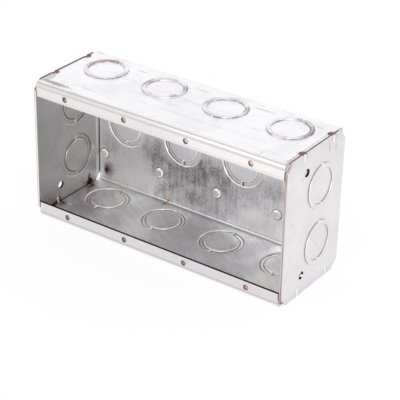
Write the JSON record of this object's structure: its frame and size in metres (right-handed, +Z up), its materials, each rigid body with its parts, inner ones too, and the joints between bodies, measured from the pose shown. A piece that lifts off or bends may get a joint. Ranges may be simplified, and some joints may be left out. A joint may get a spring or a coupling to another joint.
{
  "type": "multi-gang box",
  "caption": "Open-front wall box for a row of wiring devices: a folded sheet-steel wrapper with tapped lips, flat welded end plates and concentric conduit knockouts.",
  "frame": {"origin": "bottom centre of the whole box, on the surface that its bottom rings stand on", "axes": "+X along the width, the open front faces -Y, +Z up"},
  "size_m": [0.1896, 0.0644, 0.0968],
  "materials": {
    "galvanised_steel": "galvanised, satin, with patina and burnt weld spots"
  },
  "bodies": {
    "root": {"body_wrapper": "galvanised_steel", "left_end_plate": "galvanised_steel", "right_end_plate": "galvanised_steel"}
  },
  "joints": []
}
